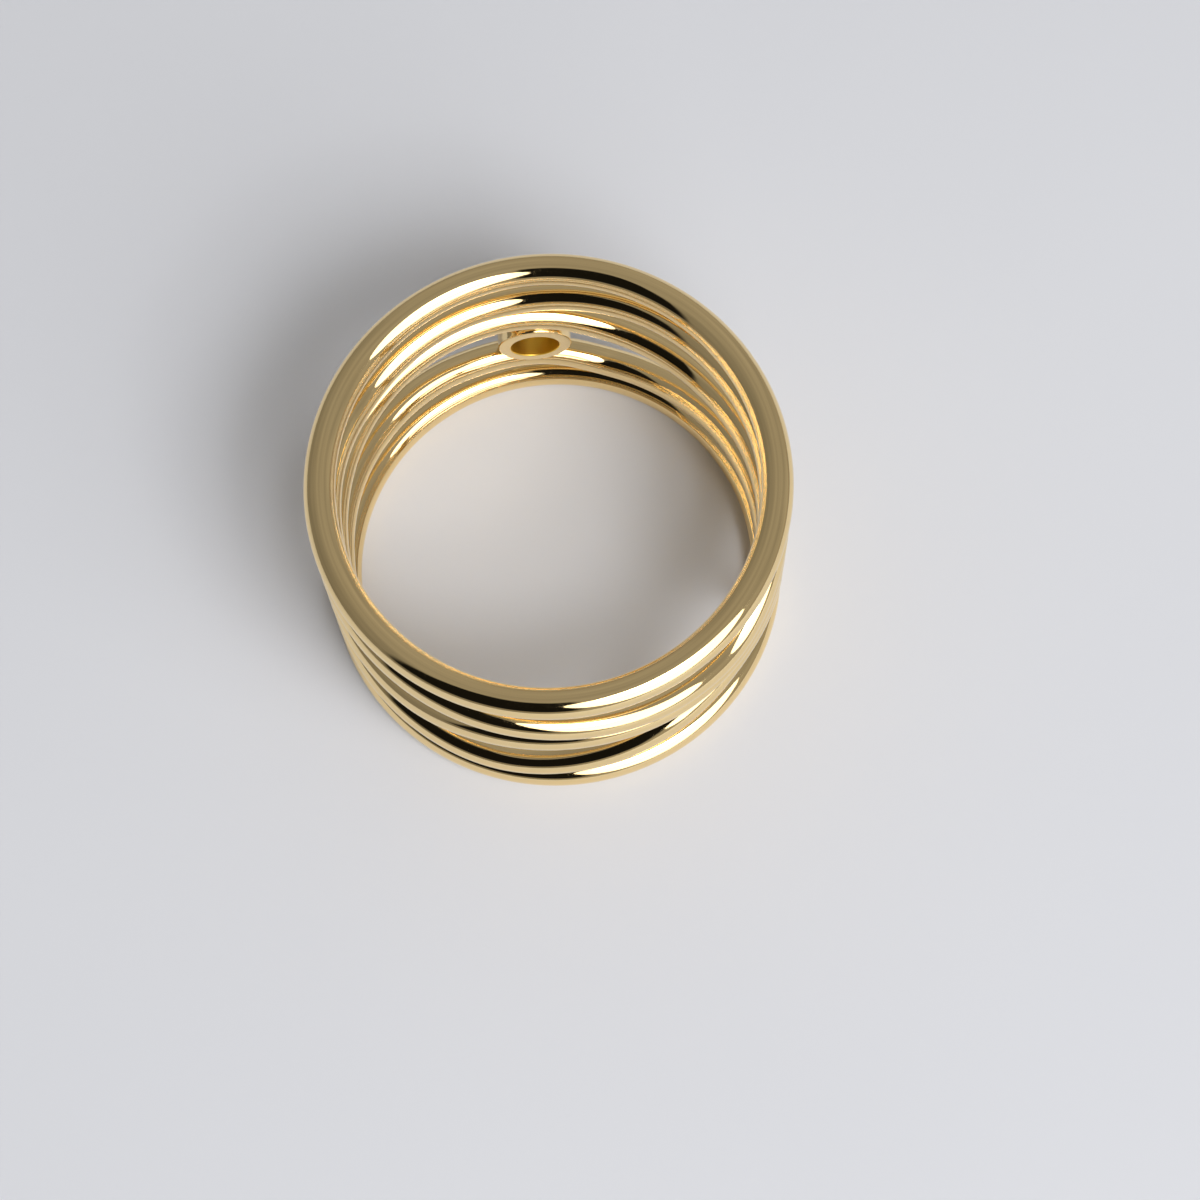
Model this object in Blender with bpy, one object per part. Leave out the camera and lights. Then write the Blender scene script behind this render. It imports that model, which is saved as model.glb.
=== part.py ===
"""Five-strand gold ring with one round diamond in a tube collet.

The ring lies on its side: its axis is +Z, its lower rim rests on the plane z = 0,
and the stone looks along +Y. Lengths are in metres.
"""

import math

import bmesh
import bpy
from mathutils import Vector

# Strands
FINGER_BORE = 0.0173
WIRE_DIAMETER = 0.0013
RIM_SPACING = 0.0116
WIRE_STATIONS = 64
WIRE_SIDES = 12

# Stone
STONE_DIAMETER = 0.0024
GIRDLE_THICKNESS = 0.00007
CROWN_ANGLE = math.radians(34.5)
PAVILION_ANGLE = math.radians(40.8)
TABLE_SHARE = 0.57
STAR_TIP_SHARE = 0.78
PAVILION_TIP_SHARE = 0.25

# Collet
STONE_CLEARANCE = 0.0001
COLLET_WALL = 0.0003
SEAT_LEDGE = 0.00025
LIP_OVERLAP = 0.0001
LIP_THICKNESS = 0.00015
EDGE_CHAMFER = 0.00006
COLLET_INWARD = 0.00002
COLLET_OUTWARD = 0.0008
COLLET_HEIGHT_SHARE = 0.408
COLLET_SIDES = 36
SOLDER_SHARE = 0.6
COLLET_SPREAD = math.radians(23)

# Bridges that join the strands at both sides of the shank
BRIDGE_DIAMETER = 0.0009
BRIDGE_SIDES = 10
BRIDGE_ANGLES = (math.radians(199), math.radians(341))

COLLET_ANGLE = math.radians(90)

# Height of each inner strand round the ring, as a share of the way from the
# centre line of the lower rim to that of the upper rim. Angles are in degrees
# from +X; the collet is at 90.
STRAND_COURSE = (
    {"angle": 0, "second": 0.8, "third": 0.53, "fourth": 0.265},
    {"angle": 30, "second": 0.8, "third": 0.48, "fourth": 0.21},
    {"angle": 60, "second": 0.79, "third": 0.505, "fourth": 0.16},
    {"angle": 90, "second": 0.76, "third": 0.575, "fourth": 0.175},
    {"angle": 115, "second": 0.755, "third": 0.61, "fourth": 0.27},
    {"angle": 145, "second": 0.74, "third": 0.6, "fourth": 0.3},
    {"angle": 170, "second": 0.79, "third": 0.56, "fourth": 0.305},
    {"angle": 200, "second": 0.785, "third": 0.5, "fourth": 0.23},
    {"angle": 225, "second": 0.77, "third": 0.48, "fourth": 0.19},
    {"angle": 250, "second": 0.735, "third": 0.545, "fourth": 0.165},
    {"angle": 275, "second": 0.69, "third": 0.56, "fourth": 0.225},
    {"angle": 300, "second": 0.62, "third": 0.53, "fourth": 0.325},
    {"angle": 320, "second": 0.59, "third": 0.51, "fourth": 0.42},
    {"angle": 340, "second": 0.68, "third": 0.505, "fourth": 0.36},
)

# Colours and finishes
GOLD_COLOUR = (0.83, 0.60, 0.27, 1.0)
GOLD_ROUGHNESS = 0.12
DIAMOND_COLOUR = (0.95, 0.97, 1.0, 1.0)
DIAMOND_ROUGHNESS = 0.02

# Sizes that follow
wire_radius = WIRE_DIAMETER / 2
centre_radius = FINGER_BORE / 2 + wire_radius
lower_rim_height = wire_radius
stone_radius = STONE_DIAMETER / 2
seat_radius = stone_radius + STONE_CLEARANCE
collet_radius = seat_radius + COLLET_WALL
back_bore_radius = seat_radius - SEAT_LEDGE
collet_height = lower_rim_height + COLLET_HEIGHT_SHARE * RIM_SPACING
collet_back = FINGER_BORE / 2 - COLLET_INWARD
collet_front = FINGER_BORE / 2 + WIRE_DIAMETER + COLLET_OUTWARD
crown_height = stone_radius * (1 - TABLE_SHARE) * math.tan(CROWN_ANGLE)


def clear_scene():
    for item in list(bpy.data.objects):
        bpy.data.objects.remove(item, do_unlink=True)


def make_material(name, colour, metallic, roughness):
    material = bpy.data.materials.new(name)
    material.use_nodes = True
    shader = material.node_tree.nodes["Principled BSDF"]
    shader.inputs["Base Color"].default_value = colour
    shader.inputs["Metallic"].default_value = metallic
    shader.inputs["Roughness"].default_value = roughness
    return material


def make_object(name, mesh):
    item = bpy.data.objects.new(name, mesh)
    bpy.context.scene.collection.objects.link(item)
    return item


def finish_mesh(name, shape):
    """Write a bmesh to a new mesh with its faces pointing out."""
    bmesh.ops.recalc_face_normals(shape, faces=shape.faces)
    mesh = bpy.data.meshes.new(name)
    shape.to_mesh(mesh)
    shape.free()
    return mesh


def course_share(strand, degrees):
    """Share of the rim spacing at which a strand runs, smooth all the way round."""
    rows = STRAND_COURSE
    count = len(rows)
    degrees %= 360
    here = max(i for i in range(count) if rows[i]["angle"] <= degrees)

    def knot(i):
        return rows[i % count]["angle"] + 360 * (i // count), rows[i % count][strand]

    (a0, s0), (a1, s1), (a2, s2), (a3, s3) = (knot(here + step) for step in (-1, 0, 1, 2))
    run = a2 - a1
    t = (degrees - a1) / run
    slope_in = (s2 - s0) / (a2 - a0) * run
    slope_out = (s3 - s1) / (a3 - a1) * run
    bend_in = t * t * t - 2 * t * t + t
    bend_out = t * t * t - t * t
    blend = 3 * t * t - 2 * t * t * t
    return s1 + (s2 - s1) * blend + slope_in * bend_in + slope_out * bend_out


def spread_at_collet(strand, angle):
    """Extra height that brings the third and fourth strands against the collet."""
    sides = {"third": 1, "fourth": -1}
    turn = (angle - COLLET_ANGLE + math.pi) % math.tau - math.pi
    if strand not in sides or abs(turn) > COLLET_SPREAD:
        return 0.0
    reach = collet_radius + wire_radius - SOLDER_SHARE * COLLET_WALL
    wanted = collet_height + sides[strand] * reach
    drawn = lower_rim_height + course_share(strand, math.degrees(COLLET_ANGLE)) * RIM_SPACING
    return (wanted - drawn) * (1 + math.cos(math.pi * turn / COLLET_SPREAD)) / 2


def strand_height(strand, angle):
    if strand == "lower_rim":
        return lower_rim_height
    if strand == "upper_rim":
        return lower_rim_height + RIM_SPACING
    drawn = lower_rim_height + course_share(strand, math.degrees(angle)) * RIM_SPACING
    return drawn + spread_at_collet(strand, angle)


def make_strand(strand):
    """One round wire bent into a closed loop, flat on its inner, outer, top and bottom sides."""
    corner_radius = wire_radius / math.cos(math.pi / WIRE_SIDES)
    shape = bmesh.new()
    loops = []
    for station in range(WIRE_STATIONS):
        angle = math.tau * station / WIRE_STATIONS
        outward = Vector((math.cos(angle), math.sin(angle), 0))
        centre = outward * centre_radius + Vector((0, 0, strand_height(strand, angle)))
        loop = []
        for side in range(WIRE_SIDES):
            turn = math.tau * (side + 0.5) / WIRE_SIDES
            offset = outward * math.cos(turn) + Vector((0, 0, math.sin(turn)))
            loop.append(shape.verts.new(centre + offset * corner_radius))
        loops.append(loop)
    for station in range(WIRE_STATIONS):
        here = loops[station]
        there = loops[(station + 1) % WIRE_STATIONS]
        for side in range(WIRE_SIDES):
            after = (side + 1) % WIRE_SIDES
            shape.faces.new((here[side], here[after], there[after], there[side]))
    return make_object(strand, finish_mesh(strand, shape))


def collet_profile():
    """Radius and distance from the ring's axis, once round the wall of the tube."""
    seat_slope = math.tan(PAVILION_ANGLE)
    lip_slope = math.tan(CROWN_ANGLE)
    lip_radius = stone_radius - LIP_OVERLAP
    lip_under = collet_front - LIP_THICKNESS
    lip_root = lip_under - (seat_radius - lip_radius) * lip_slope
    girdle_foot = girdle_top() - GIRDLE_THICKNESS
    seat_top = girdle_foot - STONE_CLEARANCE
    return (
        (back_bore_radius, collet_back),
        (collet_radius - EDGE_CHAMFER, collet_back),
        (collet_radius, collet_back + EDGE_CHAMFER),
        (collet_radius, collet_front - EDGE_CHAMFER),
        (collet_radius - EDGE_CHAMFER, collet_front),
        (lip_radius, collet_front),
        (lip_radius, lip_under),
        (seat_radius, lip_root),
        (seat_radius, seat_top),
        (back_bore_radius, seat_top - SEAT_LEDGE * seat_slope),
    )


def girdle_top():
    """Distance from the ring's axis to the girdle's upper edge: the lip clears the crown."""
    lip_drop = (STONE_CLEARANCE + LIP_OVERLAP) * math.tan(CROWN_ANGLE)
    return collet_front - LIP_THICKNESS - lip_drop - STONE_CLEARANCE


def make_collet():
    """A turned tube whose axis points along +Y, open at both ends."""
    shape = bmesh.new()
    profile = collet_profile()
    loops = []
    for step in range(COLLET_SIDES):
        turn = math.tau * step / COLLET_SIDES
        loops.append([
            shape.verts.new((radius * math.cos(turn), distance, collet_height + radius * math.sin(turn)))
            for radius, distance in profile
        ])
    for step in range(COLLET_SIDES):
        here = loops[step]
        there = loops[(step + 1) % COLLET_SIDES]
        for point in range(len(profile)):
            after = (point + 1) % len(profile)
            shape.faces.new((here[point], here[after], there[after], there[point]))
    return make_object("collet", finish_mesh("collet", shape))


def make_bridge(number, angle):
    """A short upright post through all five strands."""
    shape = bmesh.new()
    bmesh.ops.create_cone(
        shape,
        cap_ends=True,
        segments=BRIDGE_SIDES,
        radius1=BRIDGE_DIAMETER / 2,
        radius2=BRIDGE_DIAMETER / 2,
        depth=RIM_SPACING,
    )
    bridge = make_object(f"bridge_{number}", finish_mesh(f"bridge_{number}", shape))
    bridge.location = (
        centre_radius * math.cos(angle),
        centre_radius * math.sin(angle),
        lower_rim_height + RIM_SPACING / 2,
    )
    bridge.rotation_euler.z = angle
    return bridge


def make_band(gold):
    """Strands, collet and bridges, soldered into one piece of gold."""
    band = make_strand("lower_rim")
    band.name = "band"
    band.data.name = "band"
    added = [make_strand(strand) for strand in ("fourth", "third", "second", "upper_rim")]
    added += [make_bridge(number, angle) for number, angle in enumerate(BRIDGE_ANGLES, 1)]
    added.append(make_collet())
    for item in added:
        item.hide_render = True
        item.display_type = "WIRE"
        union = band.modifiers.new("solder " + item.name, "BOOLEAN")
        union.operation = "UNION"
        union.solver = "EXACT"
        union.object = item
    band.data.materials.append(gold)
    band.data.shade_smooth()
    band.data.set_sharp_from_angle(angle=math.radians(40))
    return band


def make_diamond(clear_stone):
    """Round brilliant: table, 8 stars, 8 kites and 16 halves over 16 halves and 8 mains."""
    shape = bmesh.new()

    def ring(count, first, radius, height):
        points = []
        for step in range(count):
            turn = first + math.tau * step / count
            points.append(shape.verts.new((radius * math.cos(turn), radius * math.sin(turn), height)))
        return points

    half_turn = math.pi / 8
    inset = math.cos(half_turn)
    star_radius = stone_radius * STAR_TIP_SHARE
    main_radius = stone_radius * PAVILION_TIP_SHARE
    star_height = (stone_radius - star_radius * inset) * math.tan(CROWN_ANGLE)
    main_depth = GIRDLE_THICKNESS + (stone_radius - main_radius * inset) * math.tan(PAVILION_ANGLE)
    culet_depth = GIRDLE_THICKNESS + stone_radius * math.tan(PAVILION_ANGLE)
    table = ring(8, 0, stone_radius * TABLE_SHARE, crown_height)
    stars = ring(8, half_turn, star_radius, star_height)
    upper = ring(16, 0, stone_radius, 0)
    lower = ring(16, 0, stone_radius, -GIRDLE_THICKNESS)
    mains = ring(8, half_turn, main_radius, -main_depth)
    culet = shape.verts.new((0, 0, -culet_depth))

    shape.faces.new(table)
    for k in range(8):
        before = k - 1
        after = (k + 1) % 8
        left = upper[2 * k]
        middle = upper[2 * k + 1]
        right = upper[(2 * k + 2) % 16]
        low_left = lower[2 * k]
        low_middle = lower[2 * k + 1]
        low_right = lower[(2 * k + 2) % 16]
        shape.faces.new((table[k], stars[k], table[after]))
        shape.faces.new((table[k], stars[before], left, stars[k]))
        shape.faces.new((stars[k], left, middle))
        shape.faces.new((stars[k], middle, right))
        shape.faces.new((left, low_left, low_middle, middle))
        shape.faces.new((middle, low_middle, low_right, right))
        shape.faces.new((mains[k], low_left, low_middle))
        shape.faces.new((mains[k], low_middle, low_right))
        shape.faces.new((culet, mains[before], low_left, mains[k]))

    diamond = make_object("diamond", finish_mesh("diamond", shape))
    diamond.location = (0, girdle_top(), collet_height)
    diamond.rotation_euler.x = -math.pi / 2
    diamond.data.materials.append(clear_stone)
    return diamond


def main():
    clear_scene()
    gold = make_material("polished yellow gold", GOLD_COLOUR, 1.0, GOLD_ROUGHNESS)
    clear_stone = make_material("colourless diamond", DIAMOND_COLOUR, 0.0, DIAMOND_ROUGHNESS)
    make_band(gold)
    make_diamond(clear_stone)


main()
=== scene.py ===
import math

import bmesh
import bpy
from mathutils import Matrix, Vector


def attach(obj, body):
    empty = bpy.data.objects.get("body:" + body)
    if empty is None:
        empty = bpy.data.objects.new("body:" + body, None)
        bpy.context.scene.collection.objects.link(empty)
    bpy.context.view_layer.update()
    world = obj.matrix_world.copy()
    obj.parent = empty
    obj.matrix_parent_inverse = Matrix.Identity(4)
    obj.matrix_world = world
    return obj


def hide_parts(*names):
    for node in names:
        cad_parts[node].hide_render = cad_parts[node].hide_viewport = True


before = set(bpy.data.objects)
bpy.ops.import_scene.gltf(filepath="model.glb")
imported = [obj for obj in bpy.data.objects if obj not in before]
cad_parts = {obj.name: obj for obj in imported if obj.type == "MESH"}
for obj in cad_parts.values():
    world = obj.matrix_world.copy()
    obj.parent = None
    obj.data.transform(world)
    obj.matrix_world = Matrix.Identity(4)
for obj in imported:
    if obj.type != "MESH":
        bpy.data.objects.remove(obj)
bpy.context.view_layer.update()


def linear(hexColour):
    # sRGB hex to the linear values that shaders take
    parts = [int(hexColour[i:i + 2], 16) / 255 for i in (1, 3, 5)]
    return [c / 12.92 if c <= 0.04045 else ((c + 0.055) / 1.055) ** 2.4 for c in parts] + [1.0]


def addNode(tree, kind, settings=None, links=None, **attributes):
    # one node with its attributes, its fixed inputs and what feeds it
    node = tree.nodes.new(kind)
    for name, value in attributes.items():
        setattr(node, name, value)
    for name, value in (settings or {}).items():
        node.inputs[name].default_value = value
    for name, source in (links or {}).items():
        tree.links.new(source, node.inputs[name])
    return node


def link(item):
    bpy.context.scene.collection.objects.link(item)
    return item


# the ring's own sizes, in metres, the same as the CAD model's
ring = {
    "fingerBore": 0.0173,
    "wireDiameter": 0.0013,
    "rimSpacing": 0.0116,
    "stations": 384,         # points along one strand
    "sides": 32,             # points round the wire
    "weldDistance": 1e-7,    # points closer than this become one
}
wireRadius = ring["wireDiameter"] / 2
centreRadius = ring["fingerBore"] / 2 + wireRadius
lowerRimHeight = wireRadius

collet = {
    "stoneDiameter": 0.0024,
    "girdleThickness": 0.00007,
    "crownAngle": math.radians(34.5),
    "pavilionAngle": math.radians(40.8),
    "clearance": 0.0001,
    "wall": 0.0003,
    "ledge": 0.00025,
    "lipOverlap": 0.0001,
    "lipThickness": 0.00015,
    "inward": 0.00002,             # how far it stands into the finger bore
    "outward": 0.0008,             # and how far out of the strands
    "angle": math.radians(90),
    "heightShare": 0.408,
    "solderShare": 0.6,            # share of its wall that sinks into the strands
    "spread": math.radians(23),    # how far to each side the strands bend to meet it
    "backBoreRound": 0.00006,      # how far from each edge its rounding starts
    "backRound": 0.00012,
    "frontRound": 0.000156,
    "lipRound": 0.000084,
    "roundSteps": 6,
    "sides": 128,
    "sharpAngle": math.radians(40),
}
stoneRadius = collet["stoneDiameter"] / 2
seatRadius = stoneRadius + collet["clearance"]
boreRadius = seatRadius - collet["ledge"]
colletRadius = seatRadius + collet["wall"]
colletHeight = lowerRimHeight + collet["heightShare"] * ring["rimSpacing"]

# height of each inner strand round the ring, as a share of the rim spacing; angles in degrees,
# 0 to the right and 90 at the collet
strandCourse = [
    {"angle": 0, "second": 0.80, "third": 0.53, "fourth": 0.265},
    {"angle": 30, "second": 0.80, "third": 0.48, "fourth": 0.21},
    {"angle": 60, "second": 0.79, "third": 0.505, "fourth": 0.16},
    {"angle": 90, "second": 0.76, "third": 0.575, "fourth": 0.175},
    {"angle": 115, "second": 0.755, "third": 0.61, "fourth": 0.27},
    {"angle": 145, "second": 0.74, "third": 0.60, "fourth": 0.30},
    {"angle": 170, "second": 0.79, "third": 0.56, "fourth": 0.305},
    {"angle": 200, "second": 0.785, "third": 0.50, "fourth": 0.23},
    {"angle": 225, "second": 0.77, "third": 0.48, "fourth": 0.19},
    {"angle": 250, "second": 0.735, "third": 0.545, "fourth": 0.165},
    {"angle": 275, "second": 0.69, "third": 0.56, "fourth": 0.225},
    {"angle": 300, "second": 0.62, "third": 0.53, "fourth": 0.325},
    {"angle": 320, "second": 0.59, "third": 0.51, "fourth": 0.42},
    {"angle": 340, "second": 0.68, "third": 0.505, "fourth": 0.36},
]


def courseShare(strand, degrees):
    # smooth curve through the table, all the way round
    rows = strandCourse
    degrees %= 360
    here = max(i for i in range(len(rows)) if rows[i]["angle"] <= degrees)

    def knot(i):
        row = rows[i % len(rows)]
        return row["angle"] + 360 * (i // len(rows)), row[strand]

    (a0, s0), (a1, s1), (a2, s2), (a3, s3) = (knot(here + step) for step in (-1, 0, 1, 2))
    run = a2 - a1
    t = (degrees - a1) / run
    slopeIn = (s2 - s0) / (a2 - a0) * run
    slopeOut = (s3 - s1) / (a3 - a1) * run
    blend = 3 * t * t - 2 * t * t * t
    return (s1 + (s2 - s1) * blend + slopeIn * (t * t * t - 2 * t * t + t)
            + slopeOut * (t * t * t - t * t))


def courseHeight(strand, angle):
    return lowerRimHeight + courseShare(strand, math.degrees(angle)) * ring["rimSpacing"]


def strandHeight(strand, angle):
    if strand == "lowerRim":
        return lowerRimHeight
    if strand == "upperRim":
        return lowerRimHeight + ring["rimSpacing"]
    height = courseHeight(strand, angle)
    turn = (angle - collet["angle"] + math.pi) % math.tau - math.pi
    side = {"third": 1, "fourth": -1}.get(strand)
    if side is None or abs(turn) > collet["spread"]:
        return height
    # the strands above and below the collet are bent to meet it
    reach = colletRadius + wireRadius - collet["solderShare"] * collet["wall"]
    shift = colletHeight + side * reach - courseHeight(strand, collet["angle"])
    return height + shift * (1 + math.cos(math.pi * turn / collet["spread"])) / 2


# 14 karat yellow gold, drawn wire polished on a felt wheel: a near mirror, whose reflections waver
# over 3 mm and again over 0.9 mm from hand work; the polishing lines are finer than a render shows,
# so they are drawn 0.11 mm apart
goldFinish = {
    "colour": "#FBE0A8",
    "rubbedColour": "#F9DCA2",
    "roughness": 0.035,
    "wavesPerMetre": 330.0,
    "waveHeight": 0.00002,
    "ripplesPerMetre": 1100.0,
    "rippleHeight": 0.0000025,
    "linesPerMetre": 9000.0,
    "lineRoughness": 0.10,
    "linesFrom": 0.45,       # noise values between which a line goes from polished to rough
    "linesTo": 0.75,
}
# the collet's bore is turned and left unpolished, so it is rough; its deep dull amber colour is painted
# shade, standing in for
# # the light that leaves it having met the gold several times
boreFinishAndShade = {
    "colour": "#F2CB58",
    "roughness": 0.36,
    "margin": 0.00003,    # how far past the bore's wall it holds
    "edge": 0.00004,      # and over what width it then turns into the polish
}


def boreShare(tree, place):
    # one on the wall of the bore and zero on all other gold
    parts = addNode(tree, "ShaderNodeSeparateXYZ", links={"Vector": place.outputs["Object"]})
    up = addNode(tree, "ShaderNodeMath", {1: colletHeight}, {0: parts.outputs["Z"]}, operation="SUBTRACT")
    flat = addNode(tree, "ShaderNodeCombineXYZ", links={"X": parts.outputs["X"], "Y": up.outputs[0]})
    radius = addNode(tree, "ShaderNodeVectorMath", links={0: flat.outputs[0]}, operation="LENGTH")
    full = boreRadius + boreFinishAndShade["margin"]
    within = addNode(tree, "ShaderNodeMapRange",
                     {"From Min": full, "From Max": full + boreFinishAndShade["edge"], "To Min": 1.0, "To Max": 0.0},
                     {"Value": radius.outputs["Value"]})
    farSide = addNode(tree, "ShaderNodeMath", {1: 0.0}, {0: parts.outputs["Y"]}, operation="GREATER_THAN")
    share = addNode(tree, "ShaderNodeMath", links={0: within.outputs["Result"], 1: farSide.outputs[0]},
                    operation="MULTIPLY")
    return share.outputs[0]


def makeGold():
    # a mix node set to colours takes its share on input 0 and the colours on 6 and 7, and gives
    # the result on output 2
    material = bpy.data.materials.new("polishedYellowGold14k")
    material.use_nodes = True
    tree = material.node_tree
    shader = tree.nodes["Principled BSDF"]
    shader.inputs["Metallic"].default_value = 1.0
    place = addNode(tree, "ShaderNodeTexCoord")
    onPiece = {"Vector": place.outputs["Object"]}
    waves = addNode(tree, "ShaderNodeTexNoise", {"Scale": goldFinish["wavesPerMetre"], "Detail": 1.0},
                    onPiece)
    ripples = addNode(tree, "ShaderNodeTexNoise", {"Scale": goldFinish["ripplesPerMetre"], "Detail": 1.0},
                      onPiece)
    lines = addNode(tree, "ShaderNodeTexNoise", {"Scale": goldFinish["linesPerMetre"], "Detail": 3.0},
                    onPiece)
    inBore = boreShare(tree, place)
    rubbed = addNode(tree, "ShaderNodeMix",
                     {6: linear(goldFinish["colour"]), 7: linear(goldFinish["rubbedColour"])},
                     {0: waves.outputs["Fac"]}, data_type="RGBA")
    # the bore's wall takes a deeper amber: painted shade for the light's many bounces inside it
    colour = addNode(tree, "ShaderNodeMix", {7: linear(boreFinishAndShade["colour"])},
                     {0: inBore, 6: rubbed.outputs[2]}, data_type="RGBA")
    tree.links.new(colour.outputs[2], shader.inputs["Base Color"])
    rough = addNode(tree, "ShaderNodeMapRange",
                    {"From Min": goldFinish["linesFrom"], "From Max": goldFinish["linesTo"],
                     "To Min": goldFinish["roughness"], "To Max": goldFinish["lineRoughness"]},
                    {"Value": lines.outputs["Fac"]})
    dull = addNode(tree, "ShaderNodeMix", {"B": boreFinishAndShade["roughness"]},
                   {"Factor": inBore, "A": rough.outputs["Result"]})
    tree.links.new(dull.outputs["Result"], shader.inputs["Roughness"])
    bump = addNode(tree, "ShaderNodeBump", {"Strength": 1.0, "Distance": goldFinish["waveHeight"]},
                   {"Height": waves.outputs["Fac"]})
    fineBump = addNode(tree, "ShaderNodeBump", {"Strength": 1.0, "Distance": goldFinish["rippleHeight"]},
                       {"Height": ripples.outputs["Fac"], "Normal": bump.outputs["Normal"]})
    tree.links.new(fineBump.outputs["Normal"], shader.inputs["Normal"])
    return material


# diamond, cut and polished: colourless and of high index, so its facets mirror and bend the light;
# a trace of skin grease dulls it in spots about 1 mm wide
diamondFinish = {
    "colour": "#FFFFFF",
    "ior": 2.417,
    "roughness": 0.0,
    "smudgesPerMetre": 900.0,
    "smudgeRoughness": 0.02,
    "smudgesFrom": 0.5,      # noise values between which a spot goes from clean to dull
    "smudgesTo": 0.8,
}


def makeDiamond():
    material = bpy.data.materials.new("polishedDiamond")
    material.use_nodes = True
    tree = material.node_tree
    shader = tree.nodes["Principled BSDF"]
    shader.inputs["Base Color"].default_value = linear(diamondFinish["colour"])
    shader.inputs["IOR"].default_value = diamondFinish["ior"]
    shader.inputs["Transmission Weight"].default_value = 1.0
    place = addNode(tree, "ShaderNodeTexCoord")
    smudges = addNode(tree, "ShaderNodeTexNoise", {"Scale": diamondFinish["smudgesPerMetre"], "Detail": 2.0},
                      {"Vector": place.outputs["Object"]})
    rough = addNode(tree, "ShaderNodeMapRange",
                    {"From Min": diamondFinish["smudgesFrom"], "From Max": diamondFinish["smudgesTo"],
                     "To Min": diamondFinish["roughness"], "To Max": diamondFinish["smudgeRoughness"]},
                    {"Value": smudges.outputs["Fac"]})
    tree.links.new(rough.outputs["Result"], shader.inputs["Roughness"])
    return material


gold = makeGold()
diamondMaterial = makeDiamond()
print("materials made")


def makeWireTree():
    # sweeps a round wire along any course of edges
    tree = bpy.data.node_groups.new("wireAlongCourse", "GeometryNodeTree")
    face = tree.interface
    face.new_socket(name="Course", in_out="INPUT", socket_type="NodeSocketGeometry")
    face.new_socket(name="Wire Radius", in_out="INPUT", socket_type="NodeSocketFloat")
    face.new_socket(name="Wire Sides", in_out="INPUT", socket_type="NodeSocketInt")
    face.new_socket(name="Metal", in_out="INPUT", socket_type="NodeSocketMaterial")
    face.new_socket(name="Wire", in_out="OUTPUT", socket_type="NodeSocketGeometry")
    start = addNode(tree, "NodeGroupInput")
    course = addNode(tree, "GeometryNodeMeshToCurve", links={"Mesh": start.outputs["Course"]})
    section = addNode(tree, "GeometryNodeCurvePrimitiveCircle",
                      links={"Resolution": start.outputs["Wire Sides"],
                             "Radius": start.outputs["Wire Radius"]})
    swept = addNode(tree, "GeometryNodeCurveToMesh", {"Fill Caps": True},
                    {"Curve": course.outputs["Curve"], "Profile Curve": section.outputs["Curve"]})
    smooth = addNode(tree, "GeometryNodeSetShadeSmooth", links={"Geometry": swept.outputs["Mesh"]})
    real = addNode(tree, "GeometryNodeRealizeInstances", links={"Geometry": smooth.outputs["Geometry"]})
    dressed = addNode(tree, "GeometryNodeSetMaterial",
                      links={"Geometry": real.outputs["Geometry"], "Material": start.outputs["Metal"]})
    addNode(tree, "NodeGroupOutput", links={"Wire": dressed.outputs["Geometry"]})
    return tree


wireTree = makeWireTree()
wireInputs = {socket.name: socket.identifier for socket in wireTree.interface.items_tree
              if socket.item_type == "SOCKET" and socket.in_out == "INPUT"}


def sweepWire(name, points, closed, radius, sides):
    course = bpy.data.meshes.new(name + "Course")
    edges = [(i, i + 1) for i in range(len(points) - 1)]
    if closed:
        edges.append((len(points) - 1, 0))
    course.from_pydata(points, edges, [])
    carrier = link(bpy.data.objects.new(name + "Course", course))
    modifier = carrier.modifiers.new("wire", "NODES")
    modifier.node_group = wireTree
    modifier[wireInputs["Wire Radius"]] = radius
    modifier[wireInputs["Wire Sides"]] = sides
    modifier[wireInputs["Metal"]] = gold
    evaluated = carrier.evaluated_get(bpy.context.evaluated_depsgraph_get())
    mesh = bpy.data.meshes.new_from_object(evaluated)
    carrier.modifiers.remove(modifier)
    bpy.data.objects.remove(carrier, do_unlink=True)
    mesh.name = name
    shape = bmesh.new()
    shape.from_mesh(mesh)
    bmesh.ops.remove_doubles(shape, verts=shape.verts, dist=ring["weldDistance"])
    bmesh.ops.recalc_face_normals(shape, faces=shape.faces)
    shape.to_mesh(mesh)
    shape.free()
    return link(bpy.data.objects.new(name, mesh))


def ringPoint(angle, height):
    return (centreRadius * math.cos(angle), centreRadius * math.sin(angle), height)


bandPieces = []
angles = [math.tau * station / ring["stations"] for station in range(ring["stations"])]
for strand in ("upperRim", "second", "third", "fourth", "lowerRim"):
    points = [ringPoint(angle, strandHeight(strand, angle)) for angle in angles]
    bandPieces.append(sweepWire(strand + "Wire", points, True, wireRadius, ring["sides"]))

# posts inside the shank that join the strands
bridge = {"diameter": 0.0009, "angles": [math.radians(199), math.radians(341)], "sides": 24}
for number, angle in enumerate(bridge["angles"], 1):
    ends = [ringPoint(angle, strandHeight(rim, angle)) for rim in ("lowerRim", "upperRim")]
    bandPieces.append(sweepWire(f"bridge{number}", ends, False, bridge["diameter"] / 2, bridge["sides"]))
print("strands and bridges swept:", len(bandPieces))


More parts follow.
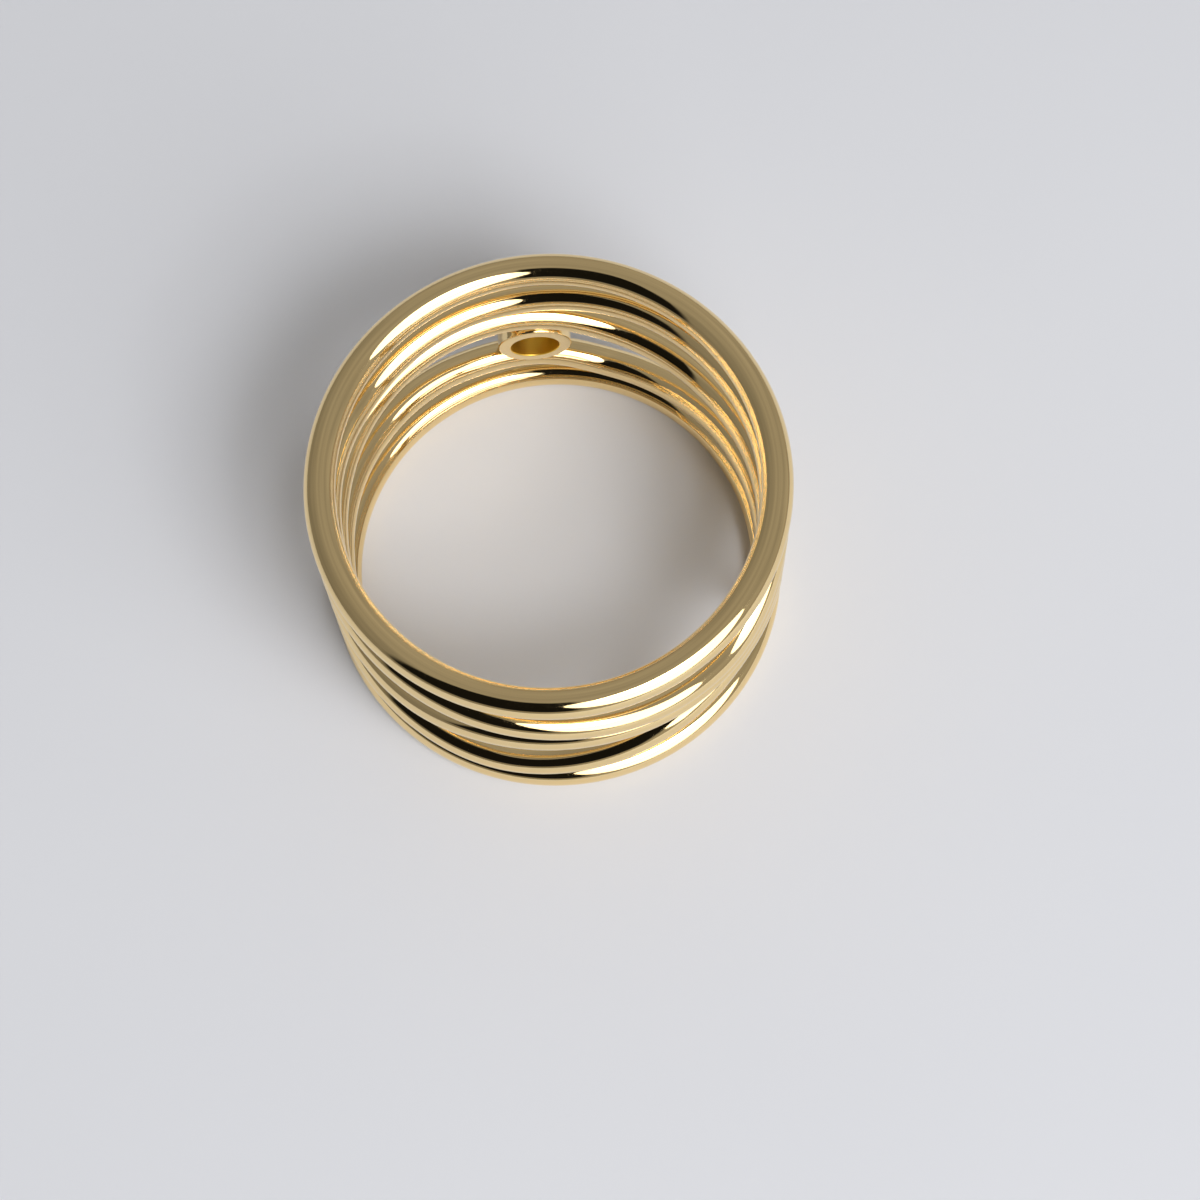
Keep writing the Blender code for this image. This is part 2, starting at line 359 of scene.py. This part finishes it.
def colletProfile():
    # radius and distance from the ring's axis, once round the tube's wall
    back = ring["fingerBore"] / 2 - collet["inward"]
    front = ring["fingerBore"] / 2 + ring["wireDiameter"] + collet["outward"]
    lipRadius = stoneRadius - collet["lipOverlap"]
    lipUnder = front - collet["lipThickness"]
    lipRoot = lipUnder - (seatRadius - lipRadius) * math.tan(collet["crownAngle"])
    girdleTop = lipRoot - collet["clearance"]
    seatTop = girdleTop - collet["girdleThickness"] - collet["clearance"]
    seatFoot = seatTop - collet["ledge"] * math.tan(collet["pavilionAngle"])
    corners = [
        {"place": Vector((boreRadius, back)), "round": collet["backBoreRound"]},
        {"place": Vector((colletRadius, back)), "round": collet["backRound"]},
        {"place": Vector((colletRadius, front)), "round": collet["frontRound"]},
        {"place": Vector((lipRadius, front)), "round": collet["lipRound"]},
        {"place": Vector((lipRadius, lipUnder)), "round": 0},
        {"place": Vector((seatRadius, lipRoot)), "round": 0},
        {"place": Vector((seatRadius, seatTop)), "round": 0},
        {"place": Vector((boreRadius, seatFoot)), "round": 0},
    ]
    points = []
    for i, corner in enumerate(corners):
        here = corner["place"]
        if not corner["round"]:
            points.append(here)
            continue
        before = corners[i - 1]["place"]
        after = corners[i + 1]["place"]
        start = here + (before - here).normalized() * corner["round"]
        end = here + (after - here).normalized() * corner["round"]
        for step in range(collet["roundSteps"] + 1):
            t = step / collet["roundSteps"]
            points.append(start * (1 - t) ** 2 + here * 2 * t * (1 - t) + end * t * t)
    return points


def makeCollet():
    # a turned tube, its lip rubbed over the stone
    shape = bmesh.new()
    profile = colletProfile()
    loops = []
    for step in range(collet["sides"]):
        turn = math.tau * step / collet["sides"]
        loops.append([shape.verts.new((radius * math.cos(turn), distance,
                                       colletHeight + radius * math.sin(turn)))
                      for radius, distance in profile])
    for step, here in enumerate(loops):
        there = loops[(step + 1) % len(loops)]
        for point in range(len(profile)):
            after = (point + 1) % len(profile)
            shape.faces.new((here[point], here[after], there[after], there[point]))
    bmesh.ops.recalc_face_normals(shape, faces=shape.faces)
    mesh = bpy.data.meshes.new("tubeCollet")
    shape.to_mesh(mesh)
    shape.free()
    mesh.materials.append(gold)
    mesh.shade_smooth()
    mesh.set_sharp_from_angle(angle=collet["sharpAngle"])
    return link(bpy.data.objects.new("tubeCollet", mesh))


# solder run into the corners where the collet meets the strands above and below it
solder = {
    "radius": 0.00036,
    "flatten": 0.6,
    "outside": 0.35,      # share of its radius by which a bead's middle lies outside the tube
    "depth": 0.00042,     # how far its middle lies from the finger bore
    "corners": [math.radians(58), math.radians(122), math.radians(238), math.radians(302)],
    "subdivisions": 4,
}


def makeSolder():
    shape = bmesh.new()
    reach = colletRadius + solder["radius"] * solder["outside"]
    for corner in solder["corners"]:
        middle = Vector((reach * math.cos(corner), ring["fingerBore"] / 2 + solder["depth"],
                         colletHeight + reach * math.sin(corner)))
        bead = bmesh.ops.create_icosphere(shape, subdivisions=solder["subdivisions"], radius=solder["radius"])
        for vert in bead["verts"]:
            vert.co.y *= solder["flatten"]
            vert.co += middle
    mesh = bpy.data.meshes.new("colletSolder")
    shape.to_mesh(mesh)
    shape.free()
    mesh.materials.append(gold)
    mesh.shade_smooth()
    return link(bpy.data.objects.new("colletSolder", mesh))


bandPieces.append(makeCollet())
bandPieces.append(makeSolder())
for piece in bandPieces:
    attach(piece, "root")
    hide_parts("band")
print("collet turned and soldered")

# the stone keeps its cut facets and takes the diamond's finish
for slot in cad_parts["diamond"].material_slots:
    slot.material = diamondMaterial
print("stone set")

# matt white acrylic sheet: a soft even white with a faint mottle 40 mm across
floorLook = {
    "size": 4.0,
    "colour": "#DFE1E7",
    "shade": "#D9DBE2",
    "roughness": 0.8,
    "mottlePerMetre": 25.0,
}


def makeFloor():
    half = floorLook["size"] / 2
    mesh = bpy.data.meshes.new("tableTop")
    corners = [(-half, -half, 0), (half, -half, 0), (half, half, 0), (-half, half, 0)]
    mesh.from_pydata(corners, [], [(0, 1, 2, 3)])
    floor = link(bpy.data.objects.new("tableTop", mesh))
    material = bpy.data.materials.new("mattWhiteSheet")
    material.use_nodes = True
    tree = material.node_tree
    shader = tree.nodes["Principled BSDF"]
    shader.inputs["Roughness"].default_value = floorLook["roughness"]
    place = addNode(tree, "ShaderNodeTexCoord")
    mottle = addNode(tree, "ShaderNodeTexNoise", {"Scale": floorLook["mottlePerMetre"]},
                     {"Vector": place.outputs["Object"]})
    colour = addNode(tree, "ShaderNodeMix",
                     {6: linear(floorLook["colour"]), 7: linear(floorLook["shade"])},
                     {0: mottle.outputs["Fac"]}, data_type="RGBA")
    tree.links.new(colour.outputs[2], shader.inputs["Base Color"])
    mesh.materials.append(material)


makeFloor()

# a grey room seen in the polish, dark in front and to the left, with a tall window in front and to the
# right; azimuth and elevation are in degrees from the ring, 0 to the right and -90 to the front
room = {
    "colour": "#FBF8F2",
    "strength": 0.34,
    "darkStrength": 0.008,
    "darkAzimuth": -118,
    "darkHalfWidth": 32,
    "darkElevation": 45,
    "darkHalfHeight": 33,
    "softness": 7,
    "clutter": 0.16,         # share by which walls and furniture make the grey uneven
    "clutterScale": 2.2,
    "clutterFrom": 0.3,      # noise values of the darkest and the lightest grey
    "clutterTo": 0.7,
    "leftLoss": 0.4,         # share of the light that the far left, away from the window, lacks
}
window = {
    "azimuth": -56,
    "distance": 0.45,
    "width": 0.64,
    "foot": 0.03,
    "head": 1.25,
    "radiance": 2.2,
    "colour": "#FFFFFF",
}
# a small lamp high in the window that gives the shadow its direction
lamp = {
    "azimuth": -58,
    "elevation": 55,
    "distance": 0.4,
    "size": 0.19,
    "radiance": 8.0,
    "colour": "#FFFFFF",
}


def bandOfAngles(tree, angle, centre, halfWidth):
    # one inside the band and zero outside it, with a soft edge
    shifted = addNode(tree, "ShaderNodeMath", {1: math.radians(centre)}, {0: angle}, operation="SUBTRACT")
    away = addNode(tree, "ShaderNodeMath", links={0: shifted.outputs[0]}, operation="ABSOLUTE")
    edge = addNode(tree, "ShaderNodeMapRange",
                   {"From Min": math.radians(halfWidth - room["softness"] / 2),
                    "From Max": math.radians(halfWidth + room["softness"] / 2),
                    "To Min": 1.0, "To Max": 0.0},
                   {"Value": away.outputs[0]}, interpolation_type="SMOOTHSTEP")
    return edge.outputs["Result"]


def makeRoom():
    world = bpy.data.worlds.new("greyRoom")
    world.use_nodes = True
    bpy.context.scene.world = world
    tree = world.node_tree
    background = tree.nodes["Background"]
    background.inputs["Color"].default_value = linear(room["colour"])
    place = addNode(tree, "ShaderNodeTexCoord")
    parts = addNode(tree, "ShaderNodeSeparateXYZ", links={"Vector": place.outputs["Generated"]})
    azimuth = addNode(tree, "ShaderNodeMath", links={0: parts.outputs["Y"], 1: parts.outputs["X"]},
                      operation="ARCTAN2")
    elevation = addNode(tree, "ShaderNodeMath", links={0: parts.outputs["Z"]}, operation="ARCSINE")
    across = bandOfAngles(tree, azimuth.outputs[0], room["darkAzimuth"], room["darkHalfWidth"])
    upward = bandOfAngles(tree, elevation.outputs[0], room["darkElevation"], room["darkHalfHeight"])
    dark = addNode(tree, "ShaderNodeMath", links={0: across, 1: upward}, operation="MULTIPLY")
    clutter = addNode(tree, "ShaderNodeTexNoise", {"Scale": room["clutterScale"], "Detail": 2.0},
                      {"Vector": place.outputs["Generated"]})
    uneven = addNode(tree, "ShaderNodeMapRange",
                     {"From Min": room["clutterFrom"], "From Max": room["clutterTo"],
                      "To Min": room["strength"] * (1 - room["clutter"]),
                      "To Max": room["strength"] * (1 + room["clutter"])},
                     {"Value": clutter.outputs["Fac"]})
    sideways = addNode(tree, "ShaderNodeMapRange",
                       {"From Min": -1.0, "From Max": 0.0, "To Min": 1 - room["leftLoss"], "To Max": 1.0},
                       {"Value": parts.outputs["X"]})
    grey = addNode(tree, "ShaderNodeMath",
                   links={0: uneven.outputs["Result"], 1: sideways.outputs["Result"]}, operation="MULTIPLY")
    strength = addNode(tree, "ShaderNodeMix", {"B": room["darkStrength"]},
                       {"Factor": dark.outputs[0], "A": grey.outputs[0]})
    tree.links.new(strength.outputs["Result"], background.inputs["Strength"])


def makePanel(name, panel, width, height, place, outward):
    # an elliptical pane of even light that faces the ring; its power is radiance x pi x area
    light = bpy.data.lights.new(name, "AREA")
    light.shape = "ELLIPSE"
    light.size = width
    light.size_y = height
    light.energy = panel["radiance"] * math.pi * (math.pi / 4 * width * height)
    light.color = linear(panel["colour"])[:3]
    item = link(bpy.data.objects.new(name, light))
    item.location = place
    item.rotation_euler = outward.to_track_quat("Z", "Y").to_euler()


def directionOf(azimuth, elevation):
    a = math.radians(azimuth)
    e = math.radians(elevation)
    return Vector((math.cos(a) * math.cos(e), math.sin(a) * math.cos(e), math.sin(e)))


def makeWindow():
    height = window["head"] - window["foot"]
    outward = directionOf(window["azimuth"], 0)
    middle = outward * window["distance"] + Vector((0, 0, window["foot"] + height / 2))
    makePanel("window", window, window["width"], height, middle, outward)


def makeLamp():
    outward = directionOf(lamp["azimuth"], lamp["elevation"])
    makePanel("lamp", lamp, lamp["size"], lamp["size"], outward * lamp["distance"], outward)


makeRoom()
makeWindow()
makeLamp()
bpy.context.scene.view_settings.view_transform = "Standard"

# the photograph's view, high in front of the ring, measured from the middle of the upper rim
view = {
    "elevation": math.radians(71),
    "distance": 0.11803,
    "aim": Vector((0.001599, -0.005197, 0.0)),
    "roll": -0.05129,
    "lens": 87.206,
    "sensorWidth": 36,
    "nearest": 0.001,
}


def makeCamera():
    upperRimMiddle = Vector((0, 0, lowerRimHeight + ring["rimSpacing"]))
    place = Vector((0, -math.cos(view["elevation"]), math.sin(view["elevation"]))) * view["distance"]
    data = bpy.data.cameras.new("camera")
    data.lens = view["lens"]
    data.sensor_width = view["sensorWidth"]
    data.clip_start = view["nearest"]
    camera = link(bpy.data.objects.new("camera", data))
    camera.location = place + upperRimMiddle
    forward = (view["aim"] - place).normalized()
    turn = forward.to_track_quat("-Z", "Y").to_matrix().to_4x4()
    camera.rotation_euler = (turn @ Matrix.Rotation(view["roll"], 4, "Z")).to_euler()
    bpy.context.scene.camera = camera


makeCamera()
print("table top, light and camera placed")
